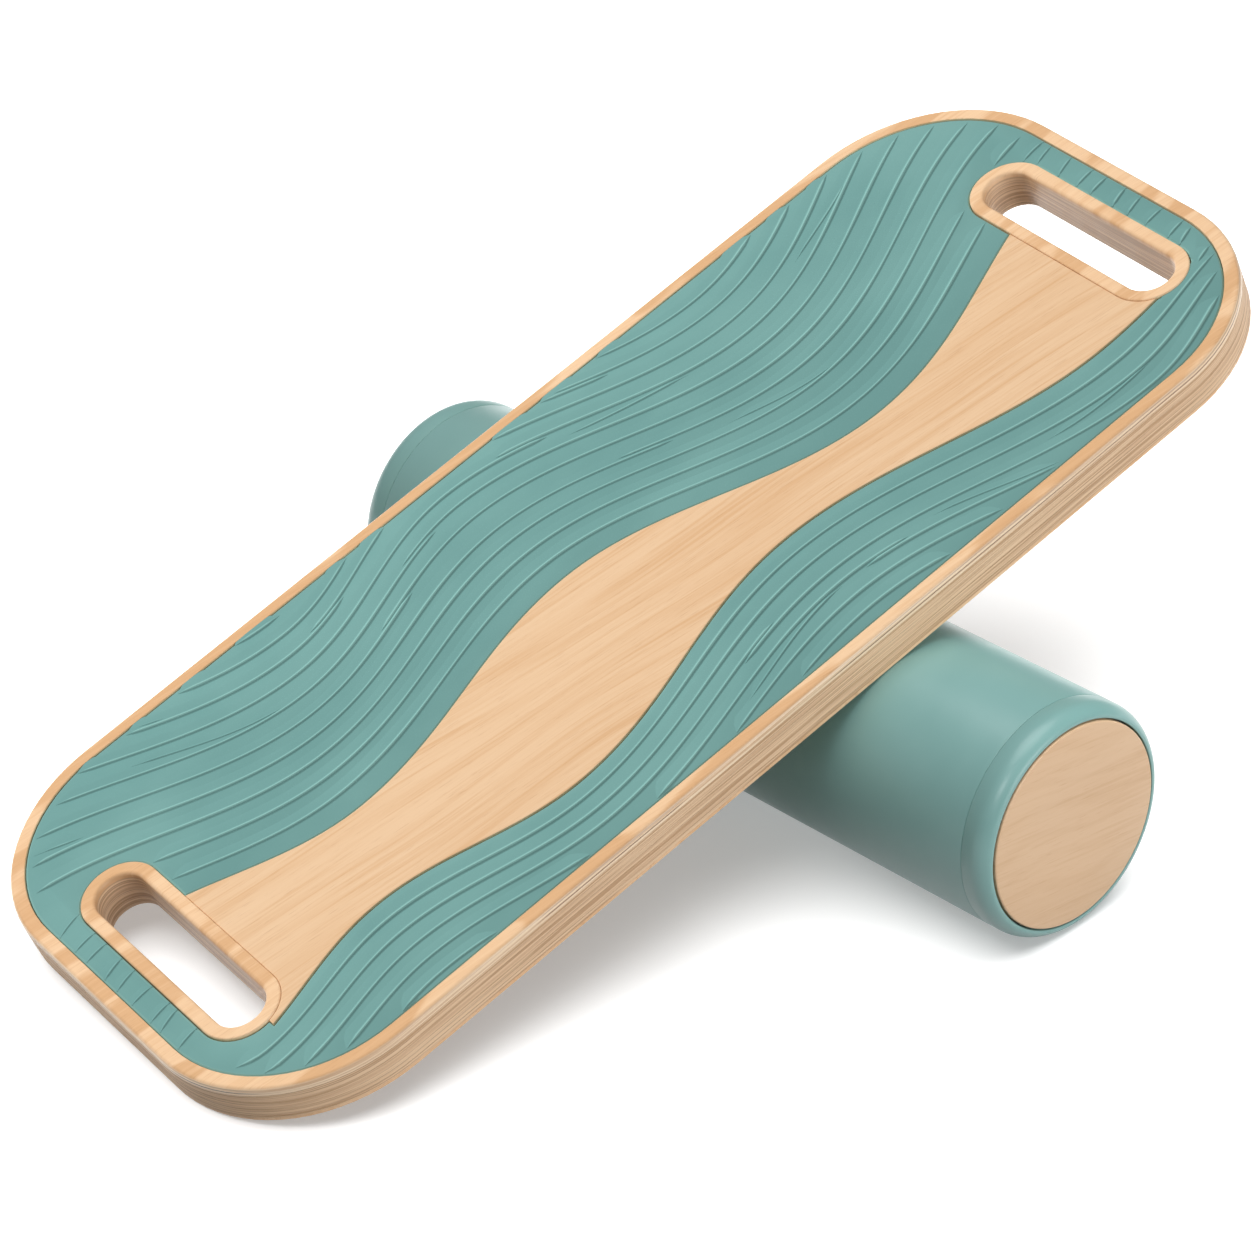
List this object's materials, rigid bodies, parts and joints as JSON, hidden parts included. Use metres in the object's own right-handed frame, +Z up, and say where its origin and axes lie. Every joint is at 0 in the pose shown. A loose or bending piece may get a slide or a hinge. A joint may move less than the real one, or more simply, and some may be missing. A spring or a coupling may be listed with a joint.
{
  "type": "roller balance board",
  "caption": "Plywood balance board with an inlaid ribbed grip mat, wave-shaped wooden panel and hand slots, resting on a loose rubber-sleeved roller with wooden end discs.",
  "frame": {"origin": "on the floor, at the middle of the whole object's footprint box, with the deck's low end and the roller both on the floor", "axes": "+X runs uphill along the deck from its low end to its raised end, +Y runs along the roller's axis from the near end to the far end, +Z is up"},
  "size_m": [0.6809, 0.4816, 0.2497],
  "materials": {
    "rim_wood": "satin clear lacquer",
    "panel_wood": "satin clear lacquer",
    "ring_wood": "satin clear lacquer",
    "mat_rubber": "matte",
    "ply_dark": "sawn and sealed edge",
    "ply_light": "sawn and sealed edge",
    "base_wood": "satin clear lacquer",
    "bar_wood": "satin clear lacquer",
    "screw_steel": "zinc plated",
    "tube_plastic": "matte",
    "sleeve_rubber": "smooth satin",
    "disc_wood": "satin clear lacquer"
  },
  "bodies": {
    "roller": {"core_tube": "tube_plastic", "roller_sleeve": "sleeve_rubber", "end_collar_near": "sleeve_rubber", "end_collar_far": "sleeve_rubber", "end_disc_near": "disc_wood", "end_disc_far": "disc_wood"},
    "deck": {"rim_frame": "rim_wood", "center_panel": "panel_wood", "handle_ring_low": "ring_wood", "handle_ring_high": "ring_wood", "grip_mat": "mat_rubber", "core_ply_1": "ply_dark", "core_ply_2": "ply_light", "core_ply_3": "ply_dark", "core_ply_4": "ply_light", "core_ply_5": "ply_dark", "core_ply_6": "ply_light", "core_ply_7": "ply_dark", "base_veneer": "base_wood", "stop_bar_low": "bar_wood", "stop_bar_high": "bar_wood", "stop_screws_low": "screw_steel", "stop_screws_high": "screw_steel"}
  },
  "joints": [
    {"name": "deck_tilt", "type": "hinge", "parent": "roller", "child": "deck", "pos_m": [0.05318, 0, 0.063], "axis": [0, 1, 0], "range_deg": [0, 40.65]}
  ]
}
